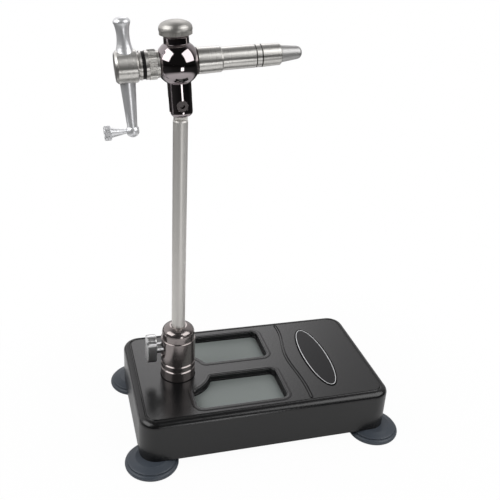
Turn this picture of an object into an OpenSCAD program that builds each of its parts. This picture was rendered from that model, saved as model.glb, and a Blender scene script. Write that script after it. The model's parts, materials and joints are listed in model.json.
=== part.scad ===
// Rotary fly tying vise on a weighted base, in millimetres.
// The origin lies on the table under the centre of the base. +X runs from the crank to the jaws.

/* [Base] */
// Length of the base
base_l = 194.2; // [150:1:260]
// Width of the base
base_w = 115.6; // [112:1:160]
// Height of the base shell
base_h = 33.7; // [30:0.5:45]
// Plan radius of the base's corners
base_corner_r = 13; // [12:0.5:18]
// Rounding of the base's top edge
base_edge_r = 5; // [2:0.2:5.2]
// Distance of the line inside the top edge from the side
edge_line_inset = 5.3; // [5:0.1:6.4]
// Radius of that line's round section
edge_line_r = 0.8; // [0.4:0.05:0.9]
// Thickness of the base's side walls
base_wall = 3; // [2:0.2:4]
// Thickness of the base's top
base_top_wall = 3.2; // [2.4:0.2:5]

/* [Trays] */
// Distance of the trays from the base's left end
tray_left_margin = 43.5; // [42:0.5:46]
// Distance of the trays from the base's right end
tray_right_margin = 81.1; // [76:0.1:90]
// Distance of the trays from the base's sides
tray_side_margin = 11.8; // [9:0.2:14]
// Width of the rib between the trays
tray_rib_w = 16.5; // [12:0.5:18]
// Depth of the trays
tray_depth = 6.2; // [5.6:0.1:9]
// Depth of the ledge that steps the tray walls in
tray_ledge_depth = 4.2; // [3:0.1:5]
// Width of the ledge
tray_ledge_w = 0.9; // [0.6:0.1:2]
// Corner radius of the trays
tray_corner_r = 5; // [3:0.2:7]
// Radius of the hollow that the trays leave round the clamp
tray_notch_r = 25; // [20:0.5:27]
// Radius where that hollow runs into the tray's sides
tray_blend_r = 2.4; // [1:0.1:3]
// Thickness of the liners on the tray floors
liner_t = 0.6; // [0.4:0.1:1.2]

/* [Top panel] */
// Distance of the wavy groove from the base's right end
wave_inset = 64.7; // [62:0.1:70]
// Sideways swing of the wavy groove
wave_swing = 3.5; // [1:0.1:4]
// Width of the wavy groove
wave_w = 2.8; // [1:0.1:3.2]
// Depth of the wavy groove
wave_depth = 0.9; // [0.3:0.1:1.2]
// Length of the oval plate
oval_l = 80; // [60:1:90]
// Width of the oval plate
oval_w = 22.4; // [16:0.4:26]
// Thickness of the oval plate
oval_t = 1; // [0.8:0.1:1.4]
// Depth of the oval plate's recess
oval_recess = 0.6; // [0.3:0.1:0.8]
// Distance of the oval plate's middle from the base's right end
oval_inset = 42.9; // [38:0.1:48]

/* [Inside the base] */
// Thickness of the steel ballast plate
ballast_t = 8; // [5:0.5:8]
// Gap between the ballast plate and the base's walls
ballast_gap = 4.1; // [3:0.1:8]
// Thickness of the bottom cover
cover_t = 2; // [1.5:0.1:3]
// Distance of the cover screws from the base's ends
cover_screw_inset_x = 17.1; // [14:0.1:24]
// Distance of the cover screws from the base's sides
cover_screw_inset_y = 30.8; // [26:0.1:36]
// Radius of the cover screws
cover_screw_r = 2; // [1.5:0.1:2.5]
// Radius of the bosses that the cover screws enter
cover_boss_r = 4.6; // [4:0.1:6]

/* [Feet] */
// Radius of the suction feet
foot_r = 19.7; // [14:0.1:21]
// Height of the suction feet
foot_h = 8; // [7:0.2:12]
// Thickness of a foot at its rim
foot_rim_t = 4.8; // [1.6:0.1:6]
// Radius of a foot's flat top
foot_top_r = 12; // [8:0.2:13]
// Depth of a foot's hollow underside
foot_hollow = 1.6; // [1:0.1:2]
// Radius of the ring on which a foot stands
foot_ring_r = 15.6; // [12:0.2:17]
// Distance of a foot's centre from the base's end
foot_inset_x = 8.6; // [8:0.1:12]
// Distance of a foot's centre from the base's side
foot_inset_y = 7.8; // [7.5:0.1:12]
// Radius of a foot's stud
foot_stud_r = 2; // [1.5:0.1:3]
// Length of a foot's stud above the rubber
foot_stud_l = 14; // [8:0.5:18]

/* [Column clamp] */
// Distance of the column from the base's left end
column_inset = 36.7; // [33:0.1:41]
// Radius of the clamp
clamp_r = 13.1; // [11:0.1:14]
// Height of the clamp above the base
clamp_h = 44.4; // [40:0.2:60]
// Height of the clamp's domed end
clamp_dome_h = 9.8; // [7:0.1:12]
// Radius where the dome begins
clamp_dome_r = 12.3; // [10.5:0.1:12.6]
// Radius of the flat ring on top of the dome
clamp_crown_r = 6.6; // [6:0.1:8]
// Thickness of the lip that holds the bush under the crown
clamp_lip_t = 2.4; // [1.6:0.1:4]
// Heights of the clamp's two lower grooves
clamp_groove_heights = [8.7, 13.9];
// Depth of the clamp's grooves
clamp_groove_depth = 0.8; // [0.4:0.1:1]
// Radius of the clamp's spigot in the base
spigot_r = 10; // [8:0.1:11]
// Length of the spigot
spigot_l = 17; // [14:0.5:18]
// Width across the flats of the clamp nut
clamp_nut_af = 28; // [24:0.5:32]
// Thickness of the clamp nut
clamp_nut_t = 7; // [5:0.2:8]

/* [Clamp screw] */
// Height of the clamp screw above the base
screw_h = 25.6; // [22:0.2:30]
// Radius of the clamp screw's thread
screw_r = 2.95; // [2:0.05:3.5]
// Radius of the flat seat round the clamp screw
screw_seat_r = 7; // [5.6:0.1:7.4]
// Distance of that seat from the column's axis
screw_seat_x = 10.4; // [9.5:0.1:11]
// Height of the oval wing head from tip to tip
wing_span = 23; // [20:0.2:30]
// Width of the wing head along the screw
wing_w = 7.4; // [5:0.1:9]
// Thickness of the wing head
wing_t = 12.4; // [9:0.2:16]
// Distance of the wing head's outer face from the column's axis
wing_reach = 24.4; // [22:0.1:28]
// Radius of the wing head's round ends
wing_corner_r = 5.9; // [2:0.1:6]
// Chamfer round the wing head's faces
wing_edge = 0.8; // [0.4:0.1:1.2]
// Turn of the wing head from upright
wing_turn = 4; // [0:1:90]
// Radius of the hub between the wing head and the clamp
wing_hub_r = 4; // [3.4:0.1:4.4]

/* [Column] */
// Radius of the column rod
rod_r = 5; // [4:0.1:6]
// Height of the rod's foot above the table
rod_foot_z = 36; // [34:0.5:44]
// Height of the head's pivot above the table
pivot_z = 254.9; // [200:0.5:300]
// Distance of the rod's shoulder below the pivot
shoulder_drop = 10.5; // [10.2:0.1:11.5]
// Thickness of the rod's tongue
tongue_t = 5; // [4:0.1:6]
// Wall of the bush between clamp and rod
bush_wall = 1.45; // [1:0.05:2]
// Clearance of parts that slide or turn in each other
run_gap = 0.05; // [0.03:0.01:0.08]

/* [Head body] */
// Tilt of the head, nose up
head_tilt = 4.6; // [0:0.1:10]
// Height of the spindle's axis over the pivot
spindle_rise = 26.6; // [25:0.1:30]
// Radius of the ball
ball_r = 14.4; // [14:0.05:15]
// Radius of the stem
stem_r = 7.7; // [7:0.1:8]
// Rounding of the stem's lower end
stem_round_r = 3.4; // [2:0.1:4]
// Distance of the stem's end below the pivot
stem_drop = 7.9; // [7:0.1:8.2]
// Radius of the neck over the ball
neck_r = 8; // [7:0.1:8.4]
// Height of the neck's top over the spindle's axis
neck_rise = 16.7; // [15.5:0.1:18]
// Radius of the pivot screw
pivot_r = 2; // [1.5:0.1:2.5]
// Radius of the pivot screw's head
pivot_head_r = 3.6; // [3:0.1:4]
// Height of the pivot screw's head
pivot_head_h = 2.4; // [1.5:0.1:2.6]
// Width across the flats of the pivot screw's socket
pivot_socket_af = 3; // [2:0.1:3.5]

/* [Brake] */
// Radius of the brake knob
knob_r = 10.6; // [9:0.1:12]
// Height of the brake knob
knob_h = 9.2; // [7.6:0.1:12]
// Height of the knob's knurled band
knob_band_h = 2.6; // [2:0.1:3]
// Height of the knob's widest line over its underside
knob_wide_h = 3.9; // [3.6:0.1:5]
// Radius of the knob's underside
knob_foot_r = 9.4; // [8.5:0.1:10]
// Radius of the brake stud
brake_stud_r = 2; // [1.5:0.1:2.4]
// Radius of the brake pad
brake_pad_r = 2.4; // [2:0.1:2.5]

/* [Spindle] */
// Radius of the spindle
spindle_r = 6; // [5.5:0.1:6.5]
// Wall of the spindle's bushes
spindle_bush_wall = 0.95; // [0.8:0.05:1.2]
// Distance of the ball's flat sides from its centre
ball_seat = 12.2; // [11.6:0.1:12.8]
// Radius of the thrust collar
thrust_r = 8.4; // [8:0.05:9]
// Length of the thrust collar
thrust_l = 1.2; // [0.8:0.1:3]
// Radius of the knurled jaw ring
ring_r = 9.3; // [8.8:0.1:10]
// Length of the jaw ring
ring_l = 5.9; // [5.8:0.1:8]
// Radius of the flanges beside the O-ring
flange_r = 9; // [8.6:0.1:9.5]
// Thickness of those flanges
flange_t = 1.2; // [0.8:0.1:1.6]
// Width of the O-ring
oring_w = 2.4; // [1.6:0.1:3]
// Outer radius of the O-ring
oring_r = 8.6; // [8.2:0.1:8.8]
// Radial thickness of the O-ring
oring_t = 1.6; // [1:0.1:1.8]
// Length of the collar's neck beside the hub
collar_neck_l = 1.1; // [0.6:0.1:2]

/* [Crank] */
// Radius of the crank hub
hub_r = 10.1; // [9.5:0.1:12]
// Length of the crank hub
hub_l = 13.9; // [12:0.1:18]
// Bevel at the hub's outer end
hub_bevel = 1.3; // [0.6:0.1:2]
// Height of the lever's top over the spindle's axis
lever_rise = 29.9; // [24:0.1:40]
// Radius of the lever at the hub
lever_root_r = 6; // [5:0.1:6.2]
// Radius of the lever's waist
lever_waist_r = 3.75; // [3:0.05:4.2]
// Radius of the lever's flared end
lever_end_r = 5.3; // [4.5:0.1:6]
// Distance of the handle from the spindle's axis
crank_throw = 41; // [34:0.2:50]
// Radius of the crank arm at the hub
arm_root_r = 5; // [4.4:0.1:5.4]
// Radius of the crank arm at its ball end
arm_tip_r = 3.1; // [2.6:0.1:3.6]
// Radius of the arm's ball end
arm_ball_r = 4.3; // [4:0.1:5]
// Reach of the handle from the arm's axis
handle_reach = 18.3; // [15:0.1:24]
// Radius of the handle at the ball
handle_small_r = 1.5; // [1.3:0.05:1.8]
// Radius of the handle at its disc
handle_big_r = 3.3; // [2.5:0.1:4]
// Radius of the handle's knurled disc
disc_r = 4.8; // [4:0.1:6]
// Thickness of the handle's disc
disc_t = 4.4; // [3:0.1:6]

/* [Nose] */
// Radius of the front collar at the ball
front_r = 8.4; // [7.8:0.05:8.8]
// Length of the front collar
front_l = 15.7; // [12:0.1:22]
// Radius of the nose sleeve
sleeve_r = 7.3; // [7:0.05:7.6]
// Length of the nose sleeve
sleeve_l = 26.6; // [24:0.1:34]
// Width of the band between the sleeve's two grooves
sleeve_band_w = 3; // [2:0.1:4]
// Width of the sleeve's grooves
sleeve_groove_w = 0.8; // [0.4:0.1:1]
// Depth of the sleeve's grooves
sleeve_groove_depth = 0.5; // [0.3:0.05:0.6]
// Radius of the nose cap at its front end
cap_tip_r = 6.95; // [6.8:0.05:7.1]
// Length of the nose cap
cap_l = 12.6; // [12.4:0.1:16]
// Radius of the bore round the jaws
jaw_bore_r = 5.4; // [5.2:0.05:5.6]

/* [Jaws] */
// Length of the jaws in front of the cap
jaw_nose_l = 15.2; // [12:0.1:18]
// Radius of the jaws in the cap
jaw_shank_r = 4.9; // [4.6:0.05:5]
// Radius of the jaws in front of the cap
jaw_root_r = 5.5; // [5.2:0.05:5.6]
// Radius of the jaws near their tip
jaw_tip_r = 4.25; // [3.6:0.05:4.6]
// Length of the rounded tip
jaw_tip_l = 3.8; // [2:0.1:4.4]
// Gap between the closed jaws
jaw_gap = 0.2; // [0.1:0.02:0.3]
// Distance of the jaw pins from the spindle's axis
jaw_pin_y = 3; // [2.9:0.05:3.2]
// Radius of the jaw pins
jaw_pin_r = 1; // [0.8:0.05:1.1]
// Distance of the jaw pins from the cap's rear face
jaw_pin_inset = 4.7; // [4.5:0.1:5]
// Length of the jaws' tails behind the pins
jaw_tail_l = 11; // [9:0.1:12]
// Half the gap between the jaws' tails
tail_gap = 1.6; // [1.5:0.05:1.8]
// Radius of the drawbar
drawbar_r = 2.5; // [2:0.05:2.6]
// Radius of the drawbar's cone where it meets the ends of the tails
cone_meet_r = 1.45; // [1.3:0.05:1.5]
// Radius of the cone's flat end
cone_end_r = 0.85; // [0.6:0.05:1]
// Length of the cone in front of the ends of the tails
cone_lead_l = 2; // [1.5:0.1:3]
// Travel of the drawbar
draw_travel = 2.4; // [1.5:0.1:2.4]
// Radius of the draw pin
draw_pin_r = 0.8; // [0.6:0.05:0.9]

/* [Hidden] */
$fn = 96;

// One overrun serves all cuts, and seat_gap is the play of faces that turn against each other.
cut = 1;
seat_gap = 0.1;
fit_gap = 0.3;
small_edge = 0.4;

// Counts
knob_knurl_count = 72;
ring_knurl_count = 54;
disc_knurl_count = 30;
profile_steps = 10;
wave_steps = 30;
wave_turns = 1.2;
oval_sides = 72;

// Shares of the sizes that they follow: depth of a knurl, heights and radii along a curved outline
knurl_share = 0.045;
wave_fade_share = 0.8;
wave_lead_share = 0.083;
foot_skirt_shares = [0.35, 1.3];
dome_shares = [0.3, 0.73, 0.7, 0.88];
socket_depth_share = 0.7;
knob_flare_shares = [0.98, 0.2, 0.8];
knob_crown_shares = [0.4, 0.55];
lever_rise_shares = [0.2, 0.62, 0.84, 0.93];
lever_crown_share = 0.7;
jaw_tip_shares = [0.98, 0.55, 0.6];
journal_share = 0.8;

// Values worked out from the sizes above
base_z = foot_h;
top_z = base_z + base_h;
ring_w = edge_line_inset + 2 * edge_line_r;
spigot_z = top_z - spigot_l;
foot_x = base_l / 2 - foot_inset_x;
foot_y = base_w / 2 - foot_inset_y;
foot_boss_r = 3 * foot_stud_r;
column_x = column_inset - base_l / 2;
tray_start_x = tray_left_margin - base_l / 2;
tray_end_x = base_l / 2 - tray_right_margin;
tray_l = tray_end_x - tray_start_x;
tray_y = tray_rib_w / 2;
tray_w = base_w / 2 - tray_y - tray_side_margin;
wave_x = base_l / 2 - wave_inset;
wave_reach = base_w / 2 - edge_line_inset - edge_line_r - small_edge - wave_w / 2;
oval_x = base_l / 2 - oval_inset;
cover_screw_x = base_l / 2 - cover_screw_inset_x;
cover_screw_y = base_w / 2 - cover_screw_inset_y;
ballast_edge = base_wall + ballast_gap;
tray_floor_wall = base_wall;
cover_z = base_z + cover_t;
ballast_top_z = cover_z + ballast_t;
cover_gap = fit_gap;
cover_edge = base_wall + cover_gap;
screw_z = top_z + screw_h;
bush_r = rod_r + run_gap + bush_wall;
bush_z = top_z + 2 * base_top_wall;
bush_top_z = top_z + clamp_h - clamp_lip_t - seat_gap;
bush_groove_depth = bush_wall / 4;
bush_groove_w = 2 * screw_r;
bush_slit_w = bush_wall;
screw_tip_r = 2 * screw_r / 3;
shoulder_z = pivot_z - shoulder_drop;
slot_gap = seat_gap;
slot_rise = rod_r + run_gap + slot_gap;
pivot_seat_y = sqrt(pow(stem_r, 2) - pow(pivot_head_r, 2)) - pivot_head_h;
bush_seat_r = spindle_r + run_gap + spindle_bush_wall;
brake_gap_half = brake_pad_r + 2 * seat_gap;
pad_rise = spindle_r + seat_gap;
pad_top = neck_rise / 2 + seat_gap;

// Stations along the spindle, from the ball's centre. The crank lies at negative stations.
s_thrust = -ball_seat - seat_gap;
s_ring = s_thrust - thrust_l - seat_gap;
s_collar = s_ring - ring_l - seat_gap;
collar_l = 2 * flange_t + oring_w + collar_neck_l;
s_hub = s_collar - collar_l;
s_hub_end = s_hub - hub_l;
s_arm = s_hub - hub_l / 2;
s_front = ball_seat + seat_gap;
s_sleeve = s_front + front_l;
s_cap = s_sleeve + sleeve_l;
s_cap_end = s_cap + cap_l;
s_tip = s_cap_end + jaw_nose_l;
s_jaw_pin = s_cap + jaw_pin_inset;
s_tail = s_jaw_pin - jaw_tail_l;
spindle_lap = spindle_r / 2;
s_spindle_end = s_sleeve - spindle_lap;
cap_lap = jaw_pin_inset - jaw_pin_r - 2 * small_edge;
cap_spigot_r = (jaw_bore_r + sleeve_r) / 2;
mouth_l = jaw_pin_inset;
mouth_r = (jaw_bore_r + cap_tip_r) / 2 - seat_gap;
cone_slope = (cone_meet_r - cone_end_r) / cone_lead_l;
s_cone_end = s_tail + cone_lead_l;
s_cone_root = s_tail - (drawbar_r - cone_meet_r) / cone_slope;
ring_chamber_l = draw_travel + 2 * draw_pin_r + 2 * seat_gap * 2;
s_chamber = s_ring - (ring_l - ring_chamber_l) / 2;
s_draw_pin = s_chamber - draw_pin_r - 2 * seat_gap;
s_drawbar_rear = s_draw_pin - draw_travel - 2 * draw_pin_r;
ring_chamber_r = ring_r - 1.5 * draw_pin_r;
handle_journal_r = handle_small_r * journal_share;

// A point of the cubic curve through four control points
function bezier(p, t) =
    pow(1 - t, 3) * p[0] + 3 * t * pow(1 - t, 2) * p[1] + 3 * t * t * (1 - t) * p[2] + t * t * t * p[3];

// Outline of a round part with fine straight teeth
function knurl_points(r, n) =
    [for (i = [0 : 2 * n - 1]) let (a = 180 * i / n, q = r * (1 - knurl_share * (i % 2)))
        [q * cos(a), q * sin(a)]];

// Rectangle with round corners, centred on the origin
module rounded_rect(l, w, r) {
    square([l - 2 * r, w], center = true);
    square([l, w - 2 * r], center = true);
    for (x = [-1, 1], y = [-1, 1])
        translate([x * (l / 2 - r), y * (w / 2 - r)]) circle(r = r);
}

// Tube along z from z0 to z1
module tube(z0, z1, r_out, r_in) {
    difference() {
        translate([0, 0, z0]) cylinder(h = z1 - z0, r = r_out);
        translate([0, 0, z0 - cut]) cylinder(h = z1 - z0 + 2 * cut, r = r_in);
    }
}

// Hexagonal bar along z from z0 to z1
module hex_bar(z0, z1, af) {
    translate([0, 0, z0]) cylinder(h = z1 - z0, r = af / sqrt(3), $fn = 6);
}

// The head's frame: origin at the pivot, x towards the jaws, z through ball and knob
module on_head() {
    translate([column_x, 0, pivot_z]) rotate([0, -head_tilt, 0]) children();
}

// The spindle's frame: z runs to the jaws from the ball's centre, x points down
module on_spindle() {
    on_head() translate([0, 0, spindle_rise]) rotate([0, 90, 0]) children();
}

// Section of the base's edge, from the core outwards
module edge_section() {
    difference() {
        union() {
            square([ring_w - base_edge_r, base_h]);
            square([ring_w, base_h - base_edge_r]);
            translate([ring_w - base_edge_r, base_h - base_edge_r]) circle(r = base_edge_r);
        }
        translate([ring_w - edge_line_inset, base_h]) circle(r = edge_line_r);
    }
}

// Solid outline of the base, with its rounded top edge and the line inside it
module base_body() {
    core_l = base_l - 2 * ring_w;
    core_w = base_w - 2 * ring_w;
    core_r = base_corner_r - ring_w;
    linear_extrude(base_h) rounded_rect(core_l, core_w, core_r);
    for (side = [-1, 1]) {
        translate([side * core_l / 2, 0, 0]) rotate([0, 0, side * 90 - 90])
            rotate([90, 0, 0]) linear_extrude(core_w - 2 * core_r, center = true) edge_section();
        translate([0, side * core_w / 2, 0]) rotate([0, 0, side * 90])
            rotate([90, 0, 0]) linear_extrude(core_l - 2 * core_r, center = true) edge_section();
    }
    for (q = [0 : 3]) {
        sx = (q == 0 || q == 3) ? 1 : -1;
        sy = (q < 2) ? 1 : -1;
        translate([sx * (core_l / 2 - core_r), sy * (core_w / 2 - core_r), 0]) rotate([0, 0, 90 * q])
            rotate_extrude(angle = 90) translate([core_r, 0]) edge_section();
    }
}

// Centres of the arcs that run the hollow round the clamp into the rib's side and the tray's end
function blend_by_rib(reach, r, rim_y) =
    [column_x + sqrt(pow(reach, 2) - pow(rim_y - r, 2)), rim_y - r];
function blend_by_end(reach, r, end_x) =
    [end_x + r, -sqrt(pow(reach, 2) - pow(end_x + r - column_x, 2))];

// Plan of the front tray, grown by g. The corner by the clamp is a round hollow with blended ends.
module tray_plan(g = 0) {
    l = tray_l + 2 * g;
    w = tray_w + 2 * g;
    notch_r = tray_notch_r - g;
    blend_r = max(tray_blend_r + g, small_edge);
    blend_a = blend_by_rib(notch_r + blend_r, blend_r, -tray_y + g);
    blend_b = blend_by_end(notch_r + blend_r, blend_r, tray_start_x - g);
    difference() {
        translate([(tray_start_x + tray_end_x) / 2, -tray_y - tray_w / 2])
            rounded_rect(l, w, max(tray_corner_r + g, small_edge));
        translate([column_x, 0]) circle(r = notch_r);
        difference() {
            polygon([[column_x, 0], blend_a, [blend_a[0], 0]]);
            translate(blend_a) circle(r = blend_r);
        }
        difference() {
            polygon([[column_x, 0], [column_x, blend_b[1]], blend_b]);
            translate(blend_b) circle(r = blend_r);
        }
    }
}

// Repeats its children on the far side of the base
module both_sides() {
    children();
    mirror([0, 1, 0]) children();
}

module tray_cuts() {
    both_sides() {
        translate([0, 0, base_h - tray_ledge_depth]) linear_extrude(tray_ledge_depth + cut) tray_plan();
        translate([0, 0, base_h - tray_depth]) linear_extrude(tray_depth) tray_plan(-tray_ledge_w);
    }
}

// Side of the wavy groove, as a function of the share t of the way from back to front
function wave_at(t, off) =
    [wave_x + off + wave_swing * cos(360 * wave_turns * (t - wave_lead_share)) * (1 - wave_fade_share * t),
        (1 - 2 * t) * wave_reach];

module wavy_groove() {
    polygon(concat(
        [for (i = [0 : wave_steps]) wave_at(i / wave_steps, wave_w / 2)],
        [for (i = [wave_steps : -1 : 0]) wave_at(i / wave_steps, -wave_w / 2)]));
    for (t = [0, 1]) translate(wave_at(t, 0)) circle(r = wave_w / 2);
}

// Outline of the oval plate, grown by g
module oval_plan(g = 0) {
    polygon([for (i = [0 : oval_sides - 1]) let (a = 360 * i / oval_sides)
        [oval_x + (oval_w / 2 + g) * cos(a), (oval_l / 2 + g) * sin(a)]]);
}

module at_feet() {
    for (x = [-1, 1], y = [-1, 1]) translate([x * foot_x, y * foot_y, 0]) children();
}

module at_cover_screws() {
    for (x = [-1, 1], y = [-1, 1]) translate([x * cover_screw_x, y * cover_screw_y, 0]) children();
}

module base_cavity() {
    inner_l = base_l - 2 * base_wall;
    inner_w = base_w - 2 * base_wall;
    inner_r = base_corner_r - base_wall;
    difference() {
        translate([0, 0, -cut]) linear_extrude(base_h - base_top_wall + cut)
            rounded_rect(inner_l, inner_w, inner_r);
        both_sides() translate([0, 0, base_h - tray_depth - tray_floor_wall])
            linear_extrude(tray_depth + tray_floor_wall) tray_plan(tray_floor_wall);
        at_feet() translate([0, 0, -2 * cut]) cylinder(h = base_h, r = foot_boss_r);
        at_cover_screws() translate([0, 0, ballast_top_z - base_z]) cylinder(h = base_h, r = cover_boss_r);
    }
}

module base_shell() {
    color("#3c3c3d") difference() {
        translate([0, 0, base_z]) difference() {
            base_body();
            base_cavity();
            tray_cuts();
            translate([0, 0, base_h - wave_depth]) linear_extrude(wave_depth + cut) wavy_groove();
            translate([0, 0, base_h - oval_recess]) linear_extrude(oval_recess + cut) oval_plan(seat_gap);
            translate([column_x, 0, 0]) cylinder(h = base_h + cut, r = spigot_r + seat_gap);
        }
        at_feet() foot_stud();
        at_cover_screws() cover_screw();
    }
}

module tray_liners() {
    color("#838a88") both_sides() translate([0, 0, top_z - tray_depth])
        linear_extrude(liner_t) tray_plan(-tray_ledge_w - seat_gap);
}

module oval_plate() {
    color("#1b1b1d") translate([0, 0, top_z - oval_recess]) {
        linear_extrude(oval_t - small_edge) oval_plan();
        translate([0, 0, oval_t - small_edge]) linear_extrude(small_edge) oval_plan(-small_edge);
    }
}

module ballast_plate() {
    color("#6d6f72") difference() {
        translate([0, 0, cover_z]) linear_extrude(ballast_t) difference() {
            rounded_rect(base_l - 2 * ballast_edge, base_w - 2 * ballast_edge, base_corner_r - ballast_edge);
            at_feet() circle(r = foot_boss_r + fit_gap);
        }
        at_cover_screws() translate([0, 0, cover_z - cut])
            cylinder(h = ballast_t + 2 * cut, r = cover_screw_r + seat_gap);
    }
}

module bottom_cover() {
    color("#2b2b2c") difference() {
        translate([0, 0, base_z]) linear_extrude(cover_t) difference() {
            rounded_rect(base_l - 2 * cover_edge, base_w - 2 * cover_edge, base_corner_r - cover_edge);
            at_feet() circle(r = foot_boss_r + fit_gap);
        }
        at_cover_screws() cover_screw();
    }
}

// Countersunk screw through the cover and the ballast into its boss
module cover_screw() {
    head_r = 2 * cover_screw_r;
    translate([0, 0, base_z]) cylinder(h = cover_t, r1 = head_r, r2 = cover_screw_r);
    translate([0, 0, base_z]) cylinder(h = cover_t + ballast_t + 2 * cover_boss_r, r = cover_screw_r);
}

module cover_screws() {
    socket_af = 1.5 * cover_screw_r;
    color("#9a9a98") at_cover_screws() difference() {
        cover_screw();
        hex_bar(base_z - cut, base_z + cover_t * socket_depth_share, socket_af);
    }
}

// Stud with the disc that the rubber foot is moulded round
module foot_stud() {
    disc_z = foot_h / 2;
    translate([0, 0, disc_z]) cylinder(h = foot_h / 6, r = 2 * foot_stud_r);
    translate([0, 0, disc_z]) cylinder(h = foot_h - disc_z + foot_stud_l, r = foot_stud_r);
}

module foot_studs() {
    color("#a9a9a6") at_feet() foot_stud();
}

// Section of a suction foot: a flat top, a drooping skirt with a round rim and a hollow underside
module foot_section() {
    rim_r = foot_rim_t / 2;
    skirt = [[foot_top_r, foot_h],
        [foot_r - rim_r, foot_rim_t + (foot_h - foot_rim_t) * foot_skirt_shares[0]],
        [foot_r - rim_r / 2, foot_rim_t * foot_skirt_shares[1]], [foot_r - rim_r, foot_rim_t]];
    difference() {
        union() {
            polygon(concat([[0, 0], [0, foot_h]],
                [for (i = [0 : profile_steps]) bezier(skirt, i / profile_steps)],
                [[foot_r - rim_r, 0]]));
            translate([foot_r - rim_r, rim_r]) circle(r = rim_r);
        }
        polygon([[0, -cut], [0, foot_hollow], [foot_ring_r / 2, foot_hollow],
            [foot_ring_r, 0], [foot_ring_r, -cut]]);
    }
}

module suction_feet() {
    color("#4a525c") at_feet() difference() {
        rotate_extrude() intersection() {
            foot_section();
            square([2 * foot_r, foot_h]);
        }
        foot_stud();
    }
}

// Turned outline of the clamp over the base, with its grooves and dome
module clamp_section() {
    dome_z = clamp_h - clamp_dome_h;
    crown_w = clamp_dome_r - clamp_crown_r;
    dome = [[clamp_dome_r, dome_z + clamp_dome_h * dome_shares[0]],
        [clamp_dome_r, dome_z + clamp_dome_h * dome_shares[1]],
        [clamp_crown_r + crown_w * dome_shares[2], dome_z + clamp_dome_h * dome_shares[3]],
        [clamp_crown_r, clamp_h]];
    difference() {
        union() {
            square([clamp_r, dome_z - small_edge]);
            polygon(concat([[0, 0], [clamp_dome_r, 0]],
                [for (i = [0 : profile_steps]) bezier(dome, i / profile_steps)], [[0, clamp_h]]));
        }
        for (z = concat(clamp_groove_heights, [dome_z]))
            polygon([[clamp_r - clamp_groove_depth, z], [clamp_r + cut, z - clamp_groove_depth - cut],
                [clamp_r + cut, z + clamp_groove_depth + cut]]);
    }
}

module column_clamp() {
    color("#6a6663") difference() {
        union() {
            translate([column_x, 0, top_z]) rotate_extrude() clamp_section();
            translate([column_x, 0, spigot_z]) cylinder(h = spigot_l, r = spigot_r);
        }
        translate([column_x, 0, spigot_z - cut])
            cylinder(h = spigot_l + clamp_h + 2 * cut, r = rod_r + fit_gap);
        translate([column_x, 0, bush_z]) cylinder(h = bush_top_z + seat_gap - bush_z, r = bush_r + run_gap);
        translate([column_x, 0, screw_z]) rotate([0, -90, 0]) {
            cylinder(h = clamp_r, r = screw_r + run_gap);
            translate([0, 0, screw_seat_x]) cylinder(h = clamp_r, r = screw_seat_r);
        }
    }
}

module clamp_nut() {
    nut_top_z = top_z - base_top_wall;
    color("#9a9a98") translate([column_x, 0, 0]) difference() {
        hex_bar(nut_top_z - clamp_nut_t, nut_top_z, clamp_nut_af);
        translate([0, 0, spigot_z]) cylinder(h = spigot_l, r = spigot_r);
    }
}

// Oval plate of the wing head from z0 to z1, with its sides drawn in by g
module wing_plate(z0, z1, g = 0) {
    translate([0, 0, z0]) linear_extrude(z1 - z0)
        rounded_rect(wing_span - 2 * g, wing_t - 2 * g, wing_corner_r - g);
}

module wing_screw() {
    tip = bush_r - bush_groove_depth + run_gap;
    hub_start = screw_seat_x + 2 * small_edge;
    head_z = wing_reach - wing_w;
    color("#c6c7c6") translate([column_x, 0, screw_z]) rotate([0, -90, 0]) {
        translate([0, 0, tip]) cylinder(h = hub_start - tip, r = screw_tip_r);
        translate([0, 0, bush_r + 2 * run_gap]) cylinder(h = hub_start - bush_r, r = screw_r);
        translate([0, 0, hub_start]) cylinder(h = head_z + wing_edge - hub_start, r = wing_hub_r);
        rotate([0, 0, -wing_turn]) {
            wing_plate(head_z, wing_reach, wing_edge);
            wing_plate(head_z + wing_edge / 3, wing_reach - wing_edge / 3, wing_edge / 3);
            wing_plate(head_z + wing_edge, wing_reach - wing_edge);
        }
    }
}

module clamp_bush() {
    color("#d8d4c8") translate([column_x, 0, 0]) difference() {
        tube(bush_z + seat_gap, bush_top_z, bush_r, rod_r + run_gap);
        translate([0, 0, screw_z]) rotate_extrude()
            translate([bush_r - bush_groove_depth, -bush_groove_w / 2]) square([bush_wall, bush_groove_w]);
        translate([-bush_slit_w / 2, rod_r - bush_wall, bush_z]) cube([bush_slit_w, 2 * bush_r, clamp_h]);
    }
}

module column_rod() {
    chamfer = 2 * small_edge;
    color("#a8a39c") difference() {
        translate([column_x, 0, 0]) union() {
            translate([0, 0, rod_foot_z]) cylinder(h = chamfer, r1 = rod_r - chamfer, r2 = rod_r);
            translate([0, 0, rod_foot_z + chamfer])
                cylinder(h = shoulder_z - rod_foot_z - 2 * chamfer, r = rod_r);
            translate([0, 0, shoulder_z - chamfer])
                cylinder(h = chamfer, r1 = rod_r, r2 = rod_r - chamfer / 2);
            intersection() {
                translate([0, 0, shoulder_z]) cylinder(h = shoulder_drop + rod_r, r = rod_r - chamfer / 2);
                union() {
                    translate([0, 0, pivot_z]) rotate([90, 0, 0])
                        cylinder(h = tongue_t, r = rod_r, center = true);
                    translate([-rod_r, -tongue_t / 2, shoulder_z])
                        cube([2 * rod_r, tongue_t, shoulder_drop]);
                }
            }
        }
        translate([column_x, 0, pivot_z]) rotate([90, 0, 0])
            cylinder(h = 2 * tongue_t, r = pivot_r + run_gap, center = true);
    }
}

module stem_section() {
    square([stem_r, spindle_rise + stem_drop - stem_round_r]);
    translate([0, -stem_round_r]) square([stem_r - stem_round_r, stem_round_r + cut]);
    translate([stem_r - stem_round_r, 0]) circle(r = stem_round_r);
}

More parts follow.
